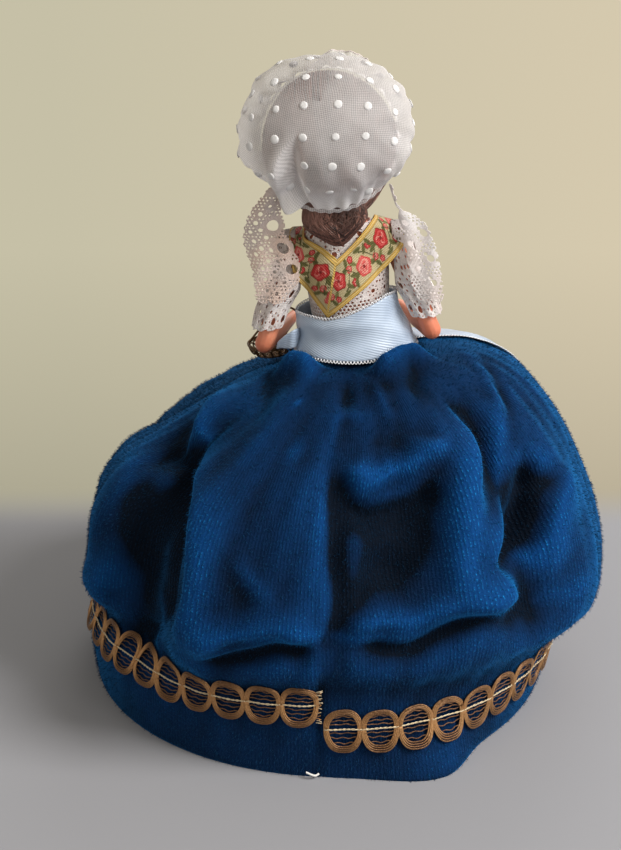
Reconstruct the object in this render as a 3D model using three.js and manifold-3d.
// A standing costume doll: strung plastic body, sleeping eyes, puffed bonnet, ribbon fichu, velvet skirt.
// Millimetres, +Z up. The doll faces -Y and its left side is +X. The origin is on the floor, in the middle.
import * as THREE from 'three';
import { mergeVertices } from 'three/addons/utils/BufferGeometryUtils.js';
import Module from 'manifold-3d';

const wasm = await Module();
wasm.setup();

// Clearances and material thicknesses
const gap = 0.35;
const softGap = 0.5;
const plasticWall = 1.3;
const thinCloth = 0.6;
const ribbonCloth = 0.7;
const velvetCloth = 1.2;

// Stance
const legLength = 88;
const hipShift = -7.2;
const torsoLean = 5;
const headLean = 4;

// Torso, measured from the hip axis
const hipWidth = 23;
const hipDepth = 17.4;
const hipRise = 9;
const waistWidth = 21.6;
const waistDepth = 16.8;
const waistRise = 24;
const chestWidth = 24.2;
const chestDepth = 19;
const chestRise = 42;
const shoulderWidth = 25;
const shoulderRise = 51.5;
const neckRise = 60;
const neckRadius = 5.4;
const crotchDrop = 5.5;
const pelvisWidth = 9.4;

// Stringing
const armHubRadius = 4.2;
const armHubWidth = 4;
const legHubRadius = 6.4;
const legHubWidth = 5.6;
const cordRadius = 0.7;
const knotRadius = 1.5;
const cordHoleRadius = 1.1;
const knotPocketRadius = 2.1;
const knotPocketDepth = 2.6;

// Head, measured from the neck seat
const headRise = 22;
const headWidth = 34;
const headDepth = 35;
const headHeight = 40;
const stemRadius = 3.2;
const stemBore = 1.8;
const collarThickness = 2;
const flangeRadius = 4.3;
const flangeThickness = 1.6;
const flangeDrop = 4.4;
const eyeRadius = 4;
const eyeTurn = 30;
const eyeDrop = 1.5;
const eyeOpeningWidth = 6.6;
const eyeOpeningHeight = 4.8;
const rockerBar = 1.4;
const rockerStem = 6;
const rockerWeight = 2.2;
const hairThickness = 1.6;
const napeRise = 3.2;
const bunWidth = 13;
const bunDepth = 9;
const bunHeight = 12;
const bunBack = 10.8;
const bunRise = 6.0;

// Legs, socks and shoes
const legSpacing = 15.6;
const thighWidth = 9.8;
const kneeHeight = 45;
const kneeWidth = 7.6;
const calfWidth = 8.2;
const ankleHeight = 13;
const ankleWidth = 5.4;
const footLength = 19;
const footWidth = 6.4;
const footHeight = 5.6;
const footForward = 4.2;
const soleThickness = 2.2;
const shoeWall = 0.9;
const sockHeight = 11;

// Arms, measured from the hub outwards
const armWidth = 6.4;
const wristWidth = 4;
const elbowDrop = 28.8;
const elbowBack = 4;
const leftElbowOut = 28;
const rightElbowOut = 25;
const rightForearmRise = 1.4;
const forearmReach = 25;
const wristIn = 8.5;
const handLength = 12;
const handWidth = 5;

// Upper clothes
const sleeveLength = 25;
const sleeveWidth = 15;
const sleeveDepth = 14.4;
const sleeveCap = 6.6;
const armholeRadius = 5.6;
const bodiceHem = 20;
const necklineSlack = 1.3;
const fichuBackTip = 32;
const fichuBackNotch = 50;
const fichuFrontTip = 27;
const fichuFrontNotch = 43;
const fichuOuterRise = 53;
const fichuInnerRise = 57;
const fichuInnerShoulder = 7;
const sashWidth = 16;
const sashFlare = 4.6;
const sashCloth = 0.7;

// Bonnet, measured in the plane of its opening
const bonnetTilt = 38;
const bonnetBack = 3.65;
const bonnetRise = 26;
const bandThickness = 1.2;
const crownWidth = 51.2;
const crownHeight = 43.4;
const crownDepth = 23;
const crownFolds = 12;
const crownFoldDepth = 0.9;
const frillWidth = 7.6;
const frillSideWidth = 4;
const frillWaves = 9;
const frillWaveDepth = 1.1;

// Lappets
const lappetWidth = 15;
const lappetLength = 34;
const lappetTop = 62.5;
const lappetInner = 12.4;
const lappetOut = 1.8;
const lappetScallops = 5;
const lappetScallop = 0.7;
const lappetWave = 0.55;

// Skirt, petticoat, apron and braid
const skirtRise = 17.8;
const skirtRadius = 82;
const skirtDepthRadius = 79.5;
const skirtWaistSlack = 3;
const skirtColumns = 48;
const gatherCount = 12;
const gatherDepth = 0.7;
const petticoatFullness = 0.72;
const petticoatLift = 2;
const petticoatDrop = 6;
const petticoatWaistIn = 1.2;
const petticoatCloth = 0.8;
const petticoatFolds = 12;
const petticoatFoldDepth = 1.4;
const seamTurn = 90;
const braidStart = 9.5;
const braidEnd = 10.02;
const braidHeight = 0.74;
const braidCloth = 0.8;
const braidSeat = 0.75;
const apronFirstTurn = 195;
const apronLastTurn = 315;

// Basket on the left forearm
const basketRadius = 8.3;
const basketFoot = 5.4;
const basketDepth = 4.2;
const basketWall = 0.8;
const basketX = 26.8;
const basketY = -13.5;
const basketClearance = 0.9;
const rimWire = 0.8;
const handleWire = 0.9;
const handleRise = 9.6;
const basketDent = 5.3;
const basketTurn = 335;

const degree = Math.PI / 180;
const point = (x, y, z) => new THREE.Vector3(x, y, z);
const mix = (a, b, t) => a + (b - a) * t;
const smooth = (a, b, t) => THREE.MathUtils.smoothstep(t, a, b);

// Joins points and faces into an indexed geometry whose faces point outwards.
function closedGeometry(points, faces) {
  let volume = 0;
  for (let i = 0; i < faces.length; i += 3) {
    const a = points[faces[i]];
    const b = points[faces[i + 1]];
    const c = points[faces[i + 2]];
    volume += a.dot(b.clone().cross(c));
  }
  const index = volume < 0 ? faces.slice().reverse() : faces;
  const geometry = new THREE.BufferGeometry();
  const numbers = points.flatMap((p) => p.toArray());
  geometry.setAttribute('position', new THREE.Float32BufferAttribute(numbers, 3));
  geometry.setIndex(index);
  return geometry;
}

// Skins a row of rings with equal point counts. A looped row closes on itself, an open one gets two caps.
function skin(rings, looped = false) {
  const count = rings[0].length;
  const points = rings.flat();
  const faces = [];
  const rows = looped ? rings.length : rings.length - 1;
  for (let row = 0; row < rows; row++) {
    const next = (row + 1) % rings.length;
    for (let k = 0; k < count; k++) {
      const after = (k + 1) % count;
      const a = row * count + k;
      const b = row * count + after;
      const c = next * count + k;
      const d = next * count + after;
      faces.push(a, b, d, a, d, c);
    }
  }
  if (!looped) {
    const last = (rings.length - 1) * count;
    const first = points.length;
    for (const ring of [rings[0], rings[rings.length - 1]]) {
      const middle = ring.reduce((sum, p) => sum.add(p), point(0, 0, 0)).divideScalar(count);
      points.push(middle);
    }
    for (let k = 0; k < count; k++) {
      const after = (k + 1) % count;
      faces.push(first, after, k);
      faces.push(first + 1, last + k, last + after);
    }
  }
  return closedGeometry(points, faces);
}

// Closes the space between two grids of equal size, as a sheet of cloth with its edges.
function sheet(upper, lower) {
  const rows = upper.length;
  const columns = upper[0].length;
  const points = [...upper.flat(), ...lower.flat()];
  const offset = rows * columns;
  const faces = [];
  for (let i = 0; i < rows - 1; i++) {
    for (let j = 0; j < columns - 1; j++) {
      const a = i * columns + j;
      const b = a + 1;
      const c = a + columns;
      const d = c + 1;
      faces.push(a, b, d, a, d, c);
      faces.push(offset + a, offset + d, offset + b, offset + a, offset + c, offset + d);
    }
  }
  const edge = [];
  for (let j = 0; j < columns - 1; j++) edge.push(j);
  for (let i = 0; i < rows - 1; i++) edge.push(i * columns + columns - 1);
  for (let j = columns - 1; j > 0; j--) edge.push((rows - 1) * columns + j);
  for (let i = rows - 1; i > 0; i--) edge.push(i * columns);
  edge.forEach((a, k) => {
    const b = edge[(k + 1) % edge.length];
    faces.push(a, offset + a, offset + b, a, offset + b, b);
  });
  return closedGeometry(points, faces);
}

function toSolid(geometry) {
  const bare = geometry.clone();
  bare.deleteAttribute('normal');
  bare.deleteAttribute('uv');
  const merged = mergeVertices(bare, 1e-4);
  const vertProperties = new Float32Array(merged.getAttribute('position').array);
  const triVerts = new Uint32Array(merged.index.array);
  return new wasm.Manifold(new wasm.Mesh({ numProp: 3, vertProperties, triVerts }));
}

function toGeometry(solid) {
  const mesh = solid.getMesh();
  const geometry = new THREE.BufferGeometry();
  geometry.setAttribute('position', new THREE.BufferAttribute(new Float32Array(mesh.vertProperties), 3));
  geometry.setIndex(new THREE.BufferAttribute(new Uint32Array(mesh.triVerts), 1));
  return geometry;
}

const cut = (solid, ...tools) => tools.reduce((rest, tool) => rest.subtract(tool), solid);
const join = (solid, ...others) => others.reduce((sum, other) => sum.add(other), solid);

function place(geometry, x, y, z) {
  return geometry.translate(x, y, z);
}

// An ellipse of points in the plane of height z.
function ellipse(rx, ry, z, count, cx = 0, cy = 0) {
  const ring = [];
  for (let k = 0; k < count; k++) {
    const turn = (k / count) * 2 * Math.PI;
    ring.push(point(cx + rx * Math.cos(turn), cy + ry * Math.sin(turn), z));
  }
  return ring;
}

// A cylinder along X between two places.
function crossBar(radius, from, to, y, z, sides = 16) {
  const geometry = new THREE.CylinderGeometry(radius, radius, Math.abs(to - from), sides);
  geometry.rotateZ(Math.PI / 2);
  return toSolid(place(geometry, (from + to) / 2, y, z));
}

function ellipsoid(rx, ry, rz, x, y, z, around = 24, down = 16) {
  const geometry = new THREE.SphereGeometry(1, around, down);
  geometry.rotateX(Math.PI / 2);
  geometry.scale(rx, ry, rz);
  return toSolid(place(geometry, x, y, z));
}

function box(width, depth, height, x, y, z) {
  return toSolid(place(new THREE.BoxGeometry(width, depth, height), x, y, z));
}

// A body of revolution about Z from a closed outline of [radius, height] pairs.
function turned(outline, sides) {
  const profile = outline.map(([radius, height]) => new THREE.Vector2(radius, height));
  profile.push(profile[0].clone());
  const geometry = new THREE.LatheGeometry(profile, sides);
  geometry.rotateX(Math.PI / 2);
  return toSolid(geometry);
}

// A solid round plug about Z.
function plug(radius, from, to, sides) {
  return turned([[0, from], [radius, from], [radius, to], [0, to]], sides);
}

// A limb skinned over stations of [x, y, z, half width across, half width the other way].
function limb(stations, sides) {
  const centres = stations.map(([x, y, z]) => point(x, y, z));
  const rings = stations.map(([, , , wide, thick], i) => {
    const before = centres[Math.max(i - 1, 0)];
    const after = centres[Math.min(i + 1, centres.length - 1)];
    const along = after.clone().sub(before).normalize();
    const across = point(1, 0, 0);
    across.addScaledVector(along, -across.dot(along)).normalize();
    const other = along.clone().cross(across);
    const ring = [];
    for (let k = 0; k < sides; k++) {
      const turn = (k / sides) * 2 * Math.PI;
      const p = centres[i].clone();
      p.addScaledVector(across, wide * Math.cos(turn));
      p.addScaledVector(other, thick * Math.sin(turn));
      ring.push(p);
    }
    return ring;
  });
  return toSolid(skin(rings));
}

const turns = Array.from({ length: skirtColumns }, (unused, k) => (k * 360) / skirtColumns);
const doll = new THREE.Group();
const figure = new THREE.Group();
const torso = new THREE.Group();
const head = new THREE.Group();
doll.add(figure);
figure.position.x = hipShift;
figure.add(torso);
torso.position.z = legLength;
torso.rotation.y = torsoLean * degree;
torso.add(head);
head.rotation.y = headLean * degree;

function add(parent, name, shape, color, roughness = 0.6, metalness = 0) {
  const geometry = shape.isBufferGeometry ? shape : toGeometry(shape);
  geometry.computeVertexNormals();
  const mesh = new THREE.Mesh(geometry, new THREE.MeshStandardMaterial({ color, roughness, metalness }));
  mesh.name = name;
  parent.add(mesh);
  return mesh;
}

const skinColor = 0xd98263;
const laceColor = 0xf2ede2;
const satinColor = 0xb9cfe6;
const velvetColor = 0x0b2f5e;
const ribbonColor = 0xd8b05c;
const hairColor = 0x4a3230;
const bronzeColor = 0x4a3524;

// Torso shells

const shoulderFlat = shoulderWidth / 2;
const hipFlat = pelvisWidth / 2;
const torsoSides = 16;
const flangeRoom = flangeRadius + gap * 2;
const collarRadius = flangeRoom + plasticWall;

// Half widths and half depths of the torso from the crotch to the neck.
function torsoStations(off) {
  const underarm = mix(chestRise, shoulderRise, 0.75);
  const shoulderTop = mix(shoulderRise, neckRise, 0.53);
  const slope = mix(shoulderRise, neckRise, 0.78);
  const between = (low, high, share) => mix(low, high, share) / 2 + off;
  return [
    [-crotchDrop - off, hipWidth * 0.2 + off, hipDepth * 0.2 + off],
    [-crotchDrop * 0.55 - off * 0.5, hipWidth * 0.35 + off, hipDepth * 0.35 + off],
    [0, hipWidth * 0.46 + off, hipDepth * 0.42 + off],
    [hipRise, hipWidth / 2 + off, hipDepth / 2 + off],
    [mix(hipRise, waistRise, 0.55), between(hipWidth, waistWidth, 0.6), between(hipDepth, waistDepth, 0.6)],
    [waistRise, waistWidth / 2 + off, waistDepth / 2 + off],
    [
      mix(waistRise, chestRise, 0.5),
      between(waistWidth, chestWidth, 0.5),
      between(waistDepth, chestDepth, 0.6),
    ],
    [chestRise, chestWidth / 2 + off, chestDepth / 2 + off],
    [underarm, shoulderFlat + off, chestDepth * 0.43 + off],
    [shoulderRise + off * 0.3, shoulderFlat + off, chestDepth * 0.36 + off],
    [shoulderTop + off * 0.8, shoulderFlat * 0.95 + off, collarRadius + off],
    [slope + off, shoulderFlat * 0.72 + off, collarRadius + off],
    [neckRise - 0.5 + off, collarRadius + 0.3 + off, collarRadius - 0.1 + off],
    [neckRise + off, neckRadius + off, neckRadius + off],
  ];
}

function torsoLoft(off) {
  return toSolid(skin(torsoStations(off).map(([z, rx, ry]) => ellipse(rx, ry, z, torsoSides))));
}

// Half width of the torso at any height, for what is fitted round it.
function torsoHalf(rise, axis) {
  const stations = torsoStations(0);
  for (let i = 1; i < stations.length; i++) {
    const [z0] = stations[i - 1];
    const [z1] = stations[i];
    if (rise <= z1) return mix(stations[i - 1][axis], stations[i][axis], (rise - z0) / (z1 - z0));
  }
  return neckRadius;
}

const hubSlack = legHubRadius * Math.sin(torsoLean * degree);
const hubRoom = gap + (hipFlat + gap + hubSlack + legHubWidth) * Math.sin(torsoLean * degree);
const stemHole = stemRadius + gap + collarThickness * Math.sin(headLean * degree);
const neckSeat = gap + neckRadius * Math.sin(headLean * degree);

function hubCuts(radius, flat, y, z, reach) {
  return [crossBar(radius, flat, flat + reach, y, z), crossBar(radius, -flat - reach, -flat, y, z)];
}

function torsoShell() {
  const armCuts = hubCuts(armHubRadius + gap, shoulderFlat, 0, shoulderRise, shoulderWidth);
  const legCuts = hubCuts(legHubRadius + hubRoom, hipFlat, 0, 0, hipWidth);
  const armSocket = armHubRadius + gap + plasticWall;
  const legSocket = legHubRadius + hubRoom + plasticWall;
  const armBacking = hubCuts(armSocket, shoulderFlat - plasticWall, 0, shoulderRise, shoulderWidth);
  const legBacking = hubCuts(legSocket, hipFlat - plasticWall, 0, 0, hipWidth);
  const floor = box(hipWidth * 2, hipDepth * 2, 20, 0, 0, -crotchDrop + plasticWall - 10);
  const ceiling = box(shoulderWidth * 2, chestDepth * 2, 20, 0, 0, neckRise - collarThickness + 10);
  const hollow = cut(torsoLoft(-plasticWall), ...armBacking, ...legBacking, floor, ceiling);
  const outside = cut(torsoLoft(0), ...armCuts, ...legCuts);
  const under = neckRise - collarThickness;
  const chamber = under - flangeThickness - flangeDrop;
  const above = neckRise + 1;
  const neckHole = turned([
    [0, chamber],
    [flangeRoom, chamber],
    [flangeRoom, under],
    [stemHole, under],
    [stemHole, above],
    [0, above],
  ], 20);
  const armHoles = crossBar(cordHoleRadius, -shoulderWidth, shoulderWidth, 0, shoulderRise, 10);
  const legHoles = crossBar(cordHoleRadius + 0.4, -hipWidth, hipWidth, 0, 0, 10);
  return cut(outside, hollow, neckHole, armHoles, legHoles);
}

const torsoSolid = torsoShell();
add(torso, 'torso_front', torsoSolid.trimByPlane([0, -1, 0], 0), skinColor);
add(torso, 'torso_back', torsoSolid.trimByPlane([0, 1, 0], 0), skinColor);

// Head shells with the neck, its stem and the flange that the collar holds

head.position.z = neckRise;
const headHalf = [headWidth / 2, headDepth / 2, headHeight / 2];

function neckOutline() {
  const stemFoot = -collarThickness - gap * 1.6;
  return [
    [stemBore, stemFoot - flangeThickness],
    [flangeRadius, stemFoot - flangeThickness],
    [flangeRadius, stemFoot],
    [stemRadius, stemFoot],
    [stemRadius, neckSeat],
    [neckRadius, neckSeat],
    [neckRadius * 0.94, headRise - headHalf[2] + 2],
    [neckRadius * 0.98, headRise - headHalf[2] * 0.72],
    [stemBore, headRise - headHalf[2] * 0.72],
  ];
}

function headShell() {
  const [rx, ry, rz] = headHalf;
  const skull = ellipsoid(rx, ry, rz, 0, 0, headRise, 22, 13);
  // A swelling of the face: its half sizes and its place as shares of the skull's.
  const swell = ([a, b, c], [x, y, z]) =>
    ellipsoid(rx * a, ry * b, rz * c, rx * x, ry * y, headRise + rz * z, 8, 6);
  const cheeks = [-1, 1].map((side) => swell([0.42, 0.3, 0.3], [side * 0.45, -0.66, -0.34]));
  const chin = swell([0.26, 0.2, 0.2], [0, -0.68, -0.74]);
  const nose = swell([0.1, 0.12, 0.1], [0, -1, -0.2]);
  const ears = [-1, 1].map((side) => swell([0.07, 0.12, 0.16], [side * 0.985, -0.05, -0.06]));
  const hollow = ellipsoid(rx - plasticWall, ry - plasticWall, rz - plasticWall, 0, 0, headRise, 16, 10);
  const bore = plug(stemBore, -headRise, headRise - rz * 0.5, 12);
  const openings = [-1, 1].map((side) => {
    const hole = new THREE.CylinderGeometry(1, 1, ry, 12);
    hole.scale(eyeOpeningWidth / 2, 1, eyeOpeningHeight / 2);
    return toSolid(place(hole, side * eyeX, eyeY - ry / 2, eyeZ));
  });
  const outside = join(skull, ...cheeks, chin, nose, ...ears, turned(neckOutline(), 20));
  return cut(outside, hollow, bore, ...openings);
}

const eyeOrbit = Math.min(headHalf[0], headHalf[1]) - plasticWall - gap - 0.4 - eyeRadius;
const eyeX = eyeOrbit * Math.sin(eyeTurn * degree);
const eyeY = -eyeOrbit * Math.cos(eyeTurn * degree);
const eyeZ = headRise - eyeDrop;
const headSolid = headShell();
add(head, 'head_front', headSolid.trimByPlane([0, -1, 0], 0), skinColor);
add(head, 'head_back', headSolid.trimByPlane([0, 1, 0], 0), skinColor);

// Sleeping eyes on one weighted rocker

add(head, 'eye_left', ellipsoid(eyeRadius, eyeRadius, eyeRadius, eyeX, eyeY, eyeZ, 12, 8), 0xf4f4f2, 0.2);
add(head, 'eye_right', ellipsoid(eyeRadius, eyeRadius, eyeRadius, -eyeX, eyeY, eyeZ, 12, 8), 0xf4f4f2, 0.2);

function rocker() {
  const barY = eyeY + eyeRadius + gap + rockerBar / 2;
  const bar = box(eyeX * 2 + rockerBar, rockerBar, rockerBar, 0, barY, eyeZ);
  const stem = box(rockerBar, rockerBar, rockerStem, 0, barY, eyeZ - rockerStem / 2);
  const weightZ = eyeZ - rockerStem - rockerWeight * 0.8;
  const weight = ellipsoid(rockerWeight * 1.3, rockerWeight, rockerWeight, 0, barY, weightZ, 12, 8);
  return join(bar, stem, weight);
}
add(head, 'eye_rocker', rocker(), 0x8a8a88, 0.5, 0.8);

// Wig cap and nape bun
const earRoom = gap + headHalf[0] * 0.06;
const hairHalf = [
  headHalf[0] + earRoom + hairThickness,
  headHalf[1] + gap + hairThickness,
  headHalf[2] + gap + hairThickness,
];

function wig() {
  const [rx, ry, rz] = headHalf;
  const outer = ellipsoid(...hairHalf, 0, 0, headRise, 22, 13);
  const inner = ellipsoid(rx + earRoom, ry + gap, rz + gap, 0, 0, headRise, 22, 13);
  const bun = ellipsoid(bunWidth / 2, bunDepth / 2, bunHeight / 2, 0, bunBack, bunRise, 14, 10);
  const hairline = outer.trimByPlane([0, 0.84, 0.54], headRise * 0.54 - ry * 0.32);
  const cap = hairline.trimByPlane([0, 0, 1], napeRise);
  const neckRoom = plug(neckRadius + gap, -headRise, headRise, 16);
  return cut(join(cap, bun), inner, neckRoom);
}
add(head, 'wig', wig(), hairColor, 0.5);

// Bonnet, built in the plane of its opening and tilted back

const bonnet = new THREE.Group();
head.add(bonnet);
bonnet.position.set(0, bonnetBack, bonnetRise);
bonnet.rotation.x = (bonnetTilt - 90) * degree;
const openingRise = bonnetRise - headRise;
const openingOff = bonnetBack * Math.cos(bonnetTilt * degree) + openingRise * Math.sin(bonnetTilt * degree);
const hairSection = Math.sqrt(Math.max(0.2, 1 - (openingOff / hairHalf[2]) ** 2));
const bandHalfWidth = hairHalf[0] * hairSection + gap * 2;
const bandHalfHeight = hairHalf[2] * hairSection + gap * 2 + 1;
const mouthWidth = 2 * bandHalfWidth + bandThickness;
const mouthHeight = 2 * bandHalfHeight + bandThickness;

// In the bonnet's frame +Z runs from the opening to the top of the crown, and -Y is up on the head.
function crownRing(stationDepth, wide, high, folds, off) {
  const ring = [];
  const count = 32;
  for (let k = 0; k < count; k++) {
    const turn = (k / count) * 2 * Math.PI;
    const wave = folds * crownFoldDepth * Math.cos(crownFolds * turn);
    const lobe = folds * 2.2 * Math.exp(-(((turn / degree - 52) / 11) ** 2));
    const grow = off - wave - lobe;
    ring.push(point((wide / 2 + grow) * Math.cos(turn), (high / 2 + grow) * Math.sin(turn), stationDepth));
  }
  return ring;
}

// Depth share, width share, height share and how deep the gathers are there.
const crownStations = [
  [0.05, mouthWidth / crownWidth, mouthHeight / crownHeight, 0.2],
  [0.2, 0.955, 0.995, 0.9],
  [0.4, 1, 1, 0.7],
  [0.6, 0.925, 0.93, 0.4],
  [0.8, 0.73, 0.74, 0.2],
  [0.94, 0.44, 0.45, 0.05],
  [1, 0.16, 0.17, 0],
];

function crown() {
  // The rings shrink by the cloth on the inside, and drop by it where the crown turns over.
  const ring = ([depth, wide, high, folds], off, drop) =>
    crownRing(depth * crownDepth + drop, wide * crownWidth, high * crownHeight, folds, off);
  const outside = crownStations.map((station) => ring(station, 0, 0));
  const dropAt = (station) => -thinCloth * smooth(0.3, 0.9, station[0]);
  const inside = crownStations.map((station) => ring(station, -thinCloth, dropAt(station)));
  const mouth = ring(crownStations[0], -thinCloth, -crownDepth * 0.1);
  return cut(toSolid(skin(outside)), toSolid(skin([mouth, ...inside])));
}
add(bonnet, 'bonnet_crown', crown(), laceColor, 0.8);

function band() {
  const top = crownStations[0][0] * crownDepth - gap;
  const foot = top - bandThickness * 1.6;
  const rings = [[bandThickness, foot], [bandThickness, top], [0, top], [0, foot]];
  return skin(rings.map(([off, z]) => ellipse(bandHalfWidth + off, bandHalfHeight + off, z, 32)), true);
}
add(bonnet, 'bonnet_band', band(), laceColor, 0.8);

// The frill stands outwards from the band round the face and leaves the nape free.
function frill() {
  const top = crownStations[0][0] * crownDepth - gap;
  const columns = frillWaves * 4 + 1;
  const grid = [0, 0.5, 1].map((share) => {
    const row = [];
    for (let j = 0; j < columns; j++) {
      const t = j / (columns - 1);
      const turn = (205 + t * 130) * degree;
      const reach = mix(frillSideWidth, frillWidth, Math.sin(t * Math.PI)) * share;
      const wave = frillWaveDepth * share * Math.cos(t * frillWaves * 2 * Math.PI);
      const off = bandThickness + gap + reach * 0.94;
      const z = top - 2.2 - reach * 0.3 + wave;
      row.push(point((bandHalfWidth + off) * Math.cos(turn), (bandHalfHeight + off) * Math.sin(turn), z));
    }
    return row;
  });
  const lower = grid.map((row) => row.map((p) => point(p.x, p.y, p.z - thinCloth)));
  return sheet(grid, lower);
}
add(bonnet, 'bonnet_frill', frill(), laceColor, 0.8);

// Elastic cords with a knot at each end

function elastic(halfSpan, y, z) {
  const reach = halfSpan + knotRadius;
  const cord = crossBar(cordRadius, -halfSpan, halfSpan, y, z, 8);
  const knotX = reach - knotRadius * 0.4;
  const knots = [-1, 1].map((side) =>
    ellipsoid(knotRadius, knotRadius, knotRadius, side * knotX, y, z, 8, 6));
  return join(cord, ...knots);
}

const armHubInner = shoulderFlat + gap;
const armHubOuter = armHubInner + armHubWidth;
const armKnotSeat = armHubOuter - knotPocketDepth;
add(torso, 'arm_elastic', elastic(armKnotSeat + gap + knotRadius * 0.4, 0, shoulderRise), 0xe8e0d0, 0.8);

const legHubInner = hipFlat + gap + hubSlack;
const legHubOuter = legHubInner + legHubWidth;
const legKnotSeat = legHubOuter - knotPocketDepth;
add(figure, 'leg_elastic', elastic(legKnotSeat + gap + knotRadius * 0.4, 0, legLength), 0xe8e0d0, 0.8);

// Arms: a hub at the shoulder, a bent elbow and a cupped hand

function armStations(side, elbowOut, wristZ) {
  const start = shoulderFlat + armHubWidth * 0.5;
  const half = armWidth / 2;
  const elbowZ = shoulderRise - elbowDrop;
  const wristX = elbowOut - wristIn;
  const wristY = elbowBack - forearmReach;
  const hand = (inward, forward, down, wide, thick) => [
    wristX - handLength * inward,
    wristY - handLength * forward,
    wristZ - down,
    handWidth * wide,
    handWidth * thick,
  ];
  const list = [
    [start, 0, shoulderRise + half * 0.2, half * 0.9, half * 0.9],
    [mix(start, elbowOut, 0.24), elbowBack * 0.1, mix(shoulderRise, elbowZ, 0.24), half, half],
    [mix(start, elbowOut, 0.62), elbowBack * 0.5, mix(shoulderRise, elbowZ, 0.62), half * 0.96, half],
    [mix(start, elbowOut, 0.92), elbowBack * 0.9, mix(shoulderRise, elbowZ, 0.92), half * 0.95, half],
    [elbowOut, mix(elbowBack, wristY, 0.1), mix(elbowZ, wristZ, 0.1), half * 0.95, half * 0.95],
    [
      mix(elbowOut, wristX, 0.4),
      mix(elbowBack, wristY, 0.42),
      mix(elbowZ, wristZ, 0.42),
      half * 0.88,
      half * 0.9,
    ],
    [wristX, wristY, wristZ, wristWidth / 2, wristWidth / 2],
    hand(0.12, 0.3, 0, 0.46, 0.3),
    hand(0.25, 0.65, 0.4, 0.5, 0.26),
    hand(0.4, 1, 1, 0.26, 0.14),
  ];
  return list.map(([x, y, z, a, b]) => [side * x, y, z, a, b]);
}

function arm(side, elbowOut, wristZ) {
  const stations = armStations(side, elbowOut, wristZ);
  const hub = crossBar(armHubRadius, side * armHubInner, side * armHubOuter, 0, shoulderRise);
  const [palmX, palmY, palmZ] = stations[7];
  const thumbHalf = handWidth * 0.16;
  const thumbX = palmX - side * handWidth * 0.42;
  const thumbLong = handWidth * 0.42;
  const thumb = ellipsoid(thumbHalf, thumbLong, thumbHalf, thumbX, palmY - 0.6, palmZ + thumbHalf, 8, 6);
  const body = join(limb(stations, 14), hub, thumb);
  const trimmed = body.trimByPlane([side, 0, 0], armHubInner);
  const outside = side * (armHubOuter + armWidth);
  const pocket = crossBar(knotPocketRadius, side * armKnotSeat, outside, 0, shoulderRise, 12);
  const hole = crossBar(cordHoleRadius, side * (armHubInner - 1), side * armHubOuter, 0, shoulderRise, 10);
  return cut(trimmed, pocket, hole);
}

// The left wrist is as high as lets the forearm clear the rim of the basket that it carries.
function leftWristRise() {
  const elbowZ = shoulderRise - elbowDrop;
  const share = (elbowBack - basketY) / forearmReach;
  const clear = basketSeat() + basketDepth + 2 * rimWire + gap * 2 + armWidth * 0.44;
  return elbowZ + Math.max(0, clear - elbowZ) / share;
}

// Legs with feet, socks and shoes

const legX = legSpacing / 2;
const footZ = soleThickness + gap;

// Levels from the foot up to the thigh: height, half width, half depth and depth offset, grown by off.
function legLevels(off) {
  const footHalf = footLength / 2 + off;
  return [
    [footZ - off, footWidth / 2 + off, footHalf, -footForward],
    [footZ + footHeight * 0.55, footWidth / 2 + off, footHalf * 0.93, -footForward * 0.95],
    [footZ + footHeight, footWidth * 0.47 + off, footHalf * 0.62, -footForward * 0.5],
    [ankleHeight, ankleWidth / 2 + off, ankleWidth * 0.56 + off, 0],
    [mix(ankleHeight, kneeHeight, 0.62), calfWidth / 2 + off, calfWidth * 0.54 + off, 0.4],
    [kneeHeight, kneeWidth / 2 + off, kneeWidth * 0.54 + off, 0],
    [mix(kneeHeight, legLength, 0.5), thighWidth * 0.47 + off, thighWidth * 0.5 + off, 0],
    [legLength - legHubRadius - 4.6, thighWidth / 2 + off, thighWidth * 0.52 + off, 0],
  ];
}

function leg(side) {
  const x = side * legX;
  const hubMiddle = side * (legHubInner + legHubOuter) / 2;
  const rings = legLevels(0).map(([z, rx, ry, cy]) => ellipse(rx, ry, z, 14, x, cy));
  for (const drop of [legHubRadius * 0.72, 0]) {
    rings.push(ellipse(legHubWidth * 0.5 - 0.2, legHubRadius * 0.9, legLength - drop, 14, hubMiddle, 0));
  }
  const hub = crossBar(legHubRadius, side * legHubInner, side * legHubOuter, 0, legLength);
  const pocket = crossBar(knotPocketRadius, side * legKnotSeat, side * (legHubOuter + 4), 0, legLength, 12);
  const hole = crossBar(cordHoleRadius, side * (legHubInner - 1), side * legHubOuter, 0, legLength, 10);
  return cut(join(toSolid(skin(rings)), hub), pocket, hole);
}

// Half sizes of the leg at a height between two of its levels.
function legAt(height, off) {
  const levels = legLevels(off);
  const above = levels.findIndex(([z]) => z >= height);
  const [z0, x0, y0, c0] = levels[above - 1];
  const [z1, x1, y1, c1] = levels[above];
  const t = (height - z0) / (z1 - z0);
  return [mix(x0, x1, t), mix(y0, y1, t), mix(c0, c1, t)];
}

function sock(side) {
  const foot = footZ + footHeight + gap * 2;
  const levels = [foot, ankleHeight, foot + sockHeight];
  const ringAt = (z, off) => {
    const [rx, ry, cy] = legAt(z, off);
    return ellipse(rx, ry, z, 14, side * legX, cy);
  };
  const outer = levels.map((z) => ringAt(z, gap + thinCloth));
  const inner = levels.map((z) => ringAt(z, gap)).reverse();
  return skin([...outer, ...inner], true);
}

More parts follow.
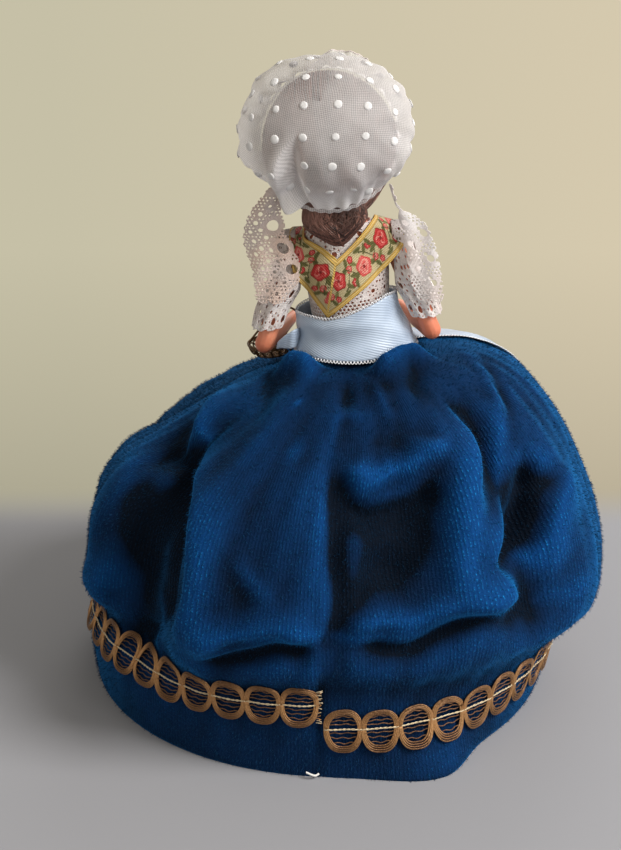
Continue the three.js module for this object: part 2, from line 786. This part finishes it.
function shoe(side) {
  const room = gap + shoeWall;
  const levels = legLevels(0).slice(0, 3);
  const x = side * legX;
  const outline = (z, rx, ry, cy, off) => ellipse(rx + off, ry + off, z, 14, x, cy);
  const [low, middle, top] = levels;
  const outer = [
    outline(0, low[1], low[2], low[3], room - 0.3),
    outline(soleThickness, low[1], low[2], low[3], room),
    outline(middle[0], middle[1], middle[2], middle[3], room),
    outline(top[0], top[1], top[2], top[3], room),
  ];
  const inner = [
    outline(footZ - gap, low[1], low[2], low[3], gap),
    outline(middle[0], middle[1], middle[2], middle[3], gap),
    outline(top[0], top[1], top[2], top[3], gap),
    outline(top[0] + 3, top[1], top[2], top[3], gap),
  ];
  return cut(toSolid(skin(outer)), toSolid(skin(inner)));
}

for (const [side, word] of [[1, 'left'], [-1, 'right']]) {
  add(figure, `leg_${word}`, leg(side), skinColor, 0.45);
  add(figure, `sock_${word}`, sock(side), laceColor, 0.9);
  add(figure, `shoe_${word}`, shoe(side), 0x2a2a2c, 0.35);
}

// Underpants, bodice and fichu follow the torso

function underpants() {
  const shell = cut(torsoLoft(gap + thinCloth), torsoLoft(gap));
  const top = mix(hipRise, skirtRise, 0.3);
  const legRoom = hubCuts(legHubRadius + hubRoom + 0.4, hipFlat - 0.4, 0, 0, hipWidth);
  return cut(shell.trimByPlane([0, 0, -1], -top), ...legRoom);
}
add(torso, 'underpants', underpants(), laceColor, 0.9);

const neckline = plug(neckRadius + necklineSlack, chestRise, neckRise + neckRadius, 24);
const bodiceOff = gap + thinCloth;
const fichuOff = bodiceOff + gap;

function bodice() {
  const shell = cut(torsoLoft(bodiceOff), torsoLoft(gap), neckline);
  const armholes = hubCuts(armholeRadius, shoulderFlat - 1.2, 0, shoulderRise, shoulderWidth);
  return cut(shell.trimByPlane([0, 0, 1], bodiceHem), ...armholes);
}
add(torso, 'bodice', bodice(), laceColor, 0.9);

// A flat outline in X and Z, pushed through in Y from one depth to another.
function slice(corners, from, to) {
  const shape = new THREE.Shape(corners.map(([x, z]) => new THREE.Vector2(x, z)));
  const geometry = new THREE.ExtrudeGeometry(shape, { depth: to - from, bevelEnabled: false });
  geometry.rotateX(Math.PI / 2);
  return toSolid(place(geometry, 0, to, 0));
}

function fichu(side) {
  const shell = cut(torsoLoft(fichuOff + ribbonCloth), torsoLoft(fichuOff), neckline);
  const edge = side * (shoulderFlat + fichuOff + ribbonCloth + 1);
  const seam = side * gap / 2;
  const inner = side * fichuInnerShoulder;
  const top = neckRise + neckRadius;
  const ribbon = (tip, notch) => [
    [seam, tip],
    [edge, fichuOuterRise],
    [edge, top],
    [inner, top],
    [inner, fichuInnerRise],
    [seam, notch],
  ];
  const back = slice(ribbon(fichuBackTip, fichuBackNotch), 0, chestDepth);
  const front = slice(ribbon(fichuFrontTip, fichuFrontNotch), -chestDepth, 0);
  const armholes = hubCuts(armholeRadius + 0.6, shoulderFlat - 1.2, 0, shoulderRise, shoulderWidth);
  return cut(shell.intersect(join(back, front)), ...armholes);
}
add(torso, 'fichu_left', fichu(1), ribbonColor, 0.5);
add(torso, 'fichu_right', fichu(-1), ribbonColor, 0.5);

// Sleeves hang round the upper arms and stay outside the chest

function sleeve(side, elbowOut) {
  const start = shoulderFlat + armHubWidth * 0.5;
  const inside = shoulderFlat + fichuOff + ribbonCloth + gap;
  const centre = (share) => mix(start, elbowOut, share);
  const ring = (share, wide, deep, off) => {
    const drop = sleeveLength * share;
    const x = centre(drop / elbowDrop);
    const y = elbowBack * drop / elbowDrop;
    return ellipse(wide / 2 - off, deep / 2 - off, shoulderRise - drop, 20, side * x, y);
  };
  // A ring of the cap, from shares of the sleeve's width and the cap's height, less the cloth.
  const cap = (wide, deep, high, out, off, thin) =>
    ellipse(
      sleeveWidth * wide - thin,
      sleeveCap * deep - thin,
      shoulderRise + sleeveCap * high - off,
      20,
      side * (start + out),
      0,
    );
  const rings = (off) => [
    cap(0.22, 0.3, 1, 1.6, off, off * 0.3),
    cap(0.36, 0.72, 0.62, 2.4, off * 0.5, off),
    ring(0, sleeveWidth * 0.84, sleeveCap * 1.96, off),
    ring(0.35, sleeveWidth, sleeveDepth, off),
    ring(0.7, sleeveWidth * 0.98, sleeveDepth, off),
    ring(1, sleeveWidth * 0.9, sleeveDepth * 0.9, off),
  ];
  const outer = toSolid(skin(rings(0)));
  const lower = ring(1.15, sleeveWidth * 0.86, sleeveDepth * 0.86, thinCloth);
  const inner = toSolid(skin([...rings(thinCloth), lower]));
  const clearOfChest = cut(outer, inner).trimByPlane([side, 0, 0], inside);
  const hubEnd = side * (armHubOuter + gap);
  const hubSpace = crossBar(armHubRadius + gap, side * armHubInner, hubEnd, 0, shoulderRise);
  return cut(clearOfChest, hubSpace);
}
add(torso, 'sleeve_left', sleeve(1, leftElbowOut), laceColor, 0.9);
add(torso, 'sleeve_right', sleeve(-1, rightElbowOut), laceColor, 0.9);

// Lappets lie behind the shoulders

function lappet(side) {
  const clear = sleeveDepth / 2 + (elbowBack * sleeveLength * 0.7) / elbowDrop + gap;
  const rows = 9;
  const columns = 5;
  const upper = [];
  for (let i = 0; i < rows; i++) {
    const t = i / (rows - 1);
    const row = [];
    for (let j = 0; j < columns; j++) {
      const across = j / (columns - 1);
      const scallop = lappetScallop * Math.abs(Math.sin(t * lappetScallops * Math.PI)) * (across * 2 - 1);
      const width = mix(lappetWidth * 0.45, lappetWidth, smooth(0, 0.5, t));
      const x = lappetInner + lappetOut * t + width * across + scallop;
      const bend = lappetWave * (1 + Math.sin(across * Math.PI * 2) * smooth(0.1, 0.6, t));
      const y = mix(fichuOff + ribbonCloth + collarRadius + gap, clear, smooth(0.05, 0.4, t)) + bend;
      row.push(point(side * x, y, lappetTop - t * lappetLength));
    }
    upper.push(row);
  }
  const lower = upper.map((row) => row.map((p) => point(p.x, p.y + thinCloth, p.z)));
  return sheet(upper, lower);
}
add(torso, 'lappet_left', lappet(1), laceColor, 0.9);
add(torso, 'lappet_right', lappet(-1), laceColor, 0.9);

// Skirt: stations from the waist to the hem, with the shares of its radius and height,
// then how far the left side goes out and up, and how far the right side goes out and up, in millimetres.
const skirtTop = legLength + skirtRise;
const skirtStations = [
  [0, 1, 0, 0, 0, 0],
  [0.2439, 0.9877, 0, 0, 0, 2.5],
  [0.3659, 0.9641, 0, -1, 0, 5],
  [0.5244, 0.9121, 0, -4, 0, 9],
  [0.6951, 0.827, 0, -5, 0, 12],
  [0.8293, 0.7183, 0, -1.5, 2, 10],
  [0.9268, 0.586, 0.5, 0, 4, 5],
  [0.9756, 0.4537, -1, 0, 6, 1],
  [0.9817, 0.3403, 1, 0, 5.5, -2],
  [0.939, 0.2552, 1, 0, -1, -5],
  [0.9451, 0.1465, 4, 0, -5.5, -1],
  [0.9512, 0, 2.5, 0, -9, 0],
];

// Folds: turn from the doll's left towards its back, half width in degrees, depth out, first and last
// station.
const skirtFolds = [
  [22, 9, 3.5, 5, 7.5],
  [40, 9, -9.5, 4.2, 8.2],
  [60, 7, 3.5, 2.5, 8.4],
  [75, 9, 1, 5, 8.4],
  [90, 4, -2.2, 3, 11],
  [104, 8, -4, 4.2, 6.4],
  [123, 7, 4, 3.5, 6.8],
  [135, 7, -8, 4.2, 7],
  [152, 9, 2.5, 5.5, 8],
  [196, 8, -5, 5.5, 8],
  [225, 10, 4, 4, 8],
  [243, 8, -4.5, 4.5, 8.4],
  [270, 12, 2.5, 4, 8.4],
  [293, 8, -4.5, 4.5, 8.4],
  [312, 9, 3.5, 4, 8],
  [338, 9, -4, 4.5, 8.4],
];

// The torso's leaning axis at a height above the floor.
function axisAt(height) {
  return hipShift + Math.tan(torsoLean * degree) * (height - legLength);
}

function waistHalf(axis) {
  return torsoHalf(skirtRise, axis) + bodiceOff + skirtWaistSlack;
}

function angleBetween(a, b) {
  const turn = ((a - b) % 360 + 540) % 360 - 180;
  return Math.abs(turn);
}

// Outer face of the velvet at a turn in degrees and a whole station.
function skirtPoint(turn, station) {
  const [radiusShare, heightShare, leftOut, leftUp, rightOut, rightUp] = skirtStations[station];
  const angle = turn * degree;
  const left = Math.max(0, Math.cos(angle)) ** 2;
  const right = Math.max(0, -Math.cos(angle)) ** 1.6;
  let out = leftOut * left + rightOut * right;
  for (const [at, wide, deep, from, to] of skirtFolds) {
    const reach = smooth(from - 1.4, from, station) * (1 - smooth(to, to + 1.4, station));
    out += deep * reach * Math.exp(-((angleBetween(turn, at) / wide) ** 2));
  }
  const gathers = smooth(0.5, 2, station) * (1 - smooth(3, 5, station));
  out += gatherDepth * gathers * Math.cos(gatherCount * angle);
  const rx = waistHalf(1) + (skirtRadius - waistHalf(1)) * radiusFrom(radiusShare) + out;
  const ry = waistHalf(2) + (skirtDepthRadius - waistHalf(2)) * radiusFrom(radiusShare) + out;
  const height = skirtTop * heightShare + leftUp * left + rightUp * right;
  const centre = axisAt(skirtTop) * (1 - smooth(0, 6, station));
  const dipReach = smooth(0, 1.2, station) * (1 - smooth(4, 6, station));
  const basketDip = basketDent * dipReach * Math.exp(-((angleBetween(turn, basketTurn) / 30) ** 2));
  return point(centre + rx * Math.cos(angle), ry * Math.sin(angle), height - basketDip);
}

// Turns a share of the whole radius into a share of the way from the waist to the hem.
function radiusFrom(share) {
  const waistShare = waistHalf(1) / skirtRadius;
  return share === 0 ? 0 : (share - waistShare) / (1 - waistShare);
}

// Height of the basket's foot above the hip, along the torso, over the highest velvet beneath it.
function basketSeat() {
  const lean = torsoLean * degree;
  const foot = point(basketX, basketY, skirtRise).applyAxisAngle(point(0, 1, 0), lean);
  let highest = 0;
  for (const turn of turns) {
    for (let station = 1; station < 6; station += 0.25) {
      const p = onSkirt(turn, station, 0);
      const aside = p.x - foot.x - hipShift;
      if (Math.hypot(aside, p.y - foot.y) > basketRadius) continue;
      highest = Math.max(highest, p.z + aside * Math.tan(lean));
    }
  }
  return (highest + basketClearance - legLength) / Math.cos(lean) + basketX * Math.tan(lean);
}

function skirtNormal(turn, station) {
  const step = 360 / skirtColumns;
  const before = skirtPoint(turn, Math.max(station - 1, 0));
  const after = skirtPoint(turn, Math.min(station + 1, skirtStations.length - 1));
  const along = after.sub(before);
  const across = skirtPoint(turn + step, station).sub(skirtPoint(turn - step, station));
  return across.cross(along).normalize().negate();
}

// A point of the velvet's flat facets, between two stations, raised by off.
function onSkirt(turn, level, off) {
  const low = Math.min(Math.floor(level), skirtStations.length - 2);
  const t = level - low;
  const a = skirtPoint(turn, low).addScaledVector(skirtNormal(turn, low), off);
  const b = skirtPoint(turn, low + 1).addScaledVector(skirtNormal(turn, low + 1), off);
  return a.lerp(b, t);
}


function skirt() {
  const last = skirtStations.length - 1;
  const outer = skirtStations.map((unused, station) => turns.map((turn) => skirtPoint(turn, station)));
  const inner = skirtStations.map((unused, station) => turns.map((turn) => {
    const p = skirtPoint(turn, station).addScaledVector(skirtNormal(turn, station), -velvetCloth);
    return station === last ? point(p.x, p.y, 0) : p;
  }));
  return skin([...outer, ...inner.reverse()], true);
}
add(doll, 'skirt', skirt(), velvetColor, 0.95);

// Rows of a band of trim from one place to another, with a row on each station that it crosses.
function rowsBetween(from, to) {
  const rows = [from];
  for (let s = Math.ceil(from + 0.02); s < to - 0.02; s++) rows.push(s);
  rows.push(to);
  return rows;
}

// The galloon runs once round from the centre-back seam and ends lower than it starts.
function braid() {
  const step = 360 / skirtColumns;
  const cells = skirtColumns - 1;
  const layers = [braidSeat, braidSeat + braidCloth].map((off) => {
    const rows = [[], [], []];
    for (let k = cells; k >= 0; k--) {
      const turn = seamTurn - k * step;
      const middle = mix(braidStart, braidEnd, k / cells);
      const inside = braidHeight / 2 - 0.05;
      const crossing = Math.min(Math.max(10, middle - inside), middle + inside);
      rows[0].push(onSkirt(turn, middle - braidHeight / 2, off));
      rows[1].push(onSkirt(turn, crossing, off));
      rows[2].push(onSkirt(turn, middle + braidHeight / 2, off));
    }
    return rows;
  });
  return sheet(layers[1], layers[0]);
}
add(doll, 'skirt_braid', braid(), 0xb98a4a, 0.5, 0.5);

function apron() {
  const columns = turns.filter((turn) => turn >= apronFirstTurn && turn <= apronLastTurn);
  const rows = rowsBetween(0.55, 6);
  const grid = (off) => rows.map((level) => columns.map((turn) => onSkirt(turn, level, off)));
  return sheet(grid(softGap + ribbonCloth), grid(softGap));
}
add(doll, 'apron', apron(), satinColor, 0.5);

// Petticoat: the skirt's stations drawn in, with even folds
const petticoatStations = [0, 1, 2, 4, 5, 6, 8, 11];

function petticoat() {
  const everyOther = turns.filter((unused, k) => k % 2 === 0);
  const ring = (station, off) => everyOther.map((turn) => {
    const [radiusShare, heightShare] = skirtStations[station];
    const angle = turn * degree;
    const fold = petticoatFoldDepth * smooth(2, 5, station) * Math.cos(petticoatFolds * angle);
    const out = skirtDepthRadius * radiusShare * petticoatFullness + fold;
    const share = smooth(0, 2, station);
    const rx = mix(waistHalf(1) - petticoatWaistIn, out, share) - off;
    const ry = mix(waistHalf(2) - petticoatWaistIn, out, share) - off;
    const height = mix(petticoatLift, skirtTop - petticoatDrop, heightShare);
    const centre = axisAt(skirtTop - petticoatDrop) * (1 - smooth(0, 6, station));
    const thin = off * (1 - smooth(4, 6, station));
    return point(centre + rx * Math.cos(angle), ry * Math.sin(angle), height - thin);
  });
  const outer = petticoatStations.map((station) => ring(station, 0));
  const inner = petticoatStations.map((station) => ring(station, petticoatCloth)).reverse();
  return skin([...outer, ...inner], true);
}
add(doll, 'petticoat', petticoat(), laceColor, 0.9);

// Sash round the waist, flaring over the gathers and the apron
function sash() {
  const seat = softGap * 2 + ribbonCloth + gap * 2;
  const ring = (share, off) => turns.map((turn) => {
    const angle = turn * degree;
    const foot = onSkirt(turn, 0.8, 0);
    const low = foot.z + seat;
    const height = mix(low, skirtTop + sashWidth, share);
    const rise = (height - legLength) / Math.cos(torsoLean * degree);
    const flare = sashFlare * (1 - share) ** 1.6 + fichuOff + ribbonCloth + gap + off;
    const rx = Math.max(torsoHalf(rise, 1), torsoHalf(waistRise, 1)) + flare;
    const ry = Math.max(torsoHalf(rise, 2), torsoHalf(waistRise, 2)) + flare;
    return point(axisAt(height) + rx * Math.cos(angle), ry * Math.sin(angle), height);
  });
  const shares = [0, 0.35, 1];
  const outer = shares.map((share) => ring(share, sashCloth));
  const inner = shares.map((share) => ring(share, 0)).reverse();
  return skin([...outer, ...inner], true);
}
add(doll, 'sash', sash(), satinColor, 0.4);

// Basket on the left forearm: bowl, looped wire rim and handle over the arm

const basketTop = basketSeat() + basketDepth;
add(torso, 'arm_left', arm(1, leftElbowOut, leftWristRise()), skinColor, 0.45);
const rightWristRise = shoulderRise - elbowDrop + rightForearmRise;
add(torso, 'arm_right', arm(-1, rightElbowOut, rightWristRise), skinColor, 0.45);

function basketBowl() {
  const foot = basketTop - basketDepth;
  const outline = [
    [0, foot],
    [basketFoot, foot],
    [basketRadius, basketTop],
    [basketRadius - basketWall, basketTop],
    [basketFoot - basketWall * 0.6, foot + basketWall],
    [0, foot + basketWall],
  ];
  return turned(outline, 20).translate([basketX, basketY, 0]);
}

function basketRim() {
  const ring = new THREE.TorusGeometry(basketRadius - basketWall / 2, rimWire, 6, 20);
  return place(ring, basketX, basketY, basketTop + rimWire + gap * 0.6);
}

// The handle's feet stand on the rim on both sides of the forearm.
function basketHandle() {
  const foot = basketTop + 2 * rimWire + gap * 2;
  const path = [];
  for (let k = 0; k <= 12; k++) {
    const t = (k / 12) * Math.PI;
    const across = Math.sign(Math.cos(t)) * Math.sqrt(Math.abs(Math.cos(t)));
    const up = Math.sqrt(Math.abs(Math.sin(t)));
    path.push(point(basketX + (basketRadius - basketWall / 2) * across, basketY, foot + handleRise * up));
  }
  const shape = new THREE.Shape();
  shape.absarc(0, 0, handleWire / 2, 0, Math.PI * 2);
  const curve = new THREE.CatmullRomCurve3(path);
  const settings = { steps: 14, curveSegments: 3, bevelEnabled: false, extrudePath: curve };
  return toSolid(new THREE.ExtrudeGeometry(shape, settings));
}
add(torso, 'basket_bowl', basketBowl(), bronzeColor, 0.6);
add(torso, 'basket_rim', basketRim(), bronzeColor, 0.4, 0.6);
add(torso, 'basket_handle', basketHandle(), bronzeColor, 0.4, 0.6);

// The origin goes on the floor, under the middle of the doll's outline
doll.updateMatrixWorld(true);
const outline = new THREE.Box3().setFromObject(doll, true);
doll.position.x = -(outline.min.x + outline.max.x) / 2;
doll.position.y = -(outline.min.y + outline.max.y) / 2;

export default doll;
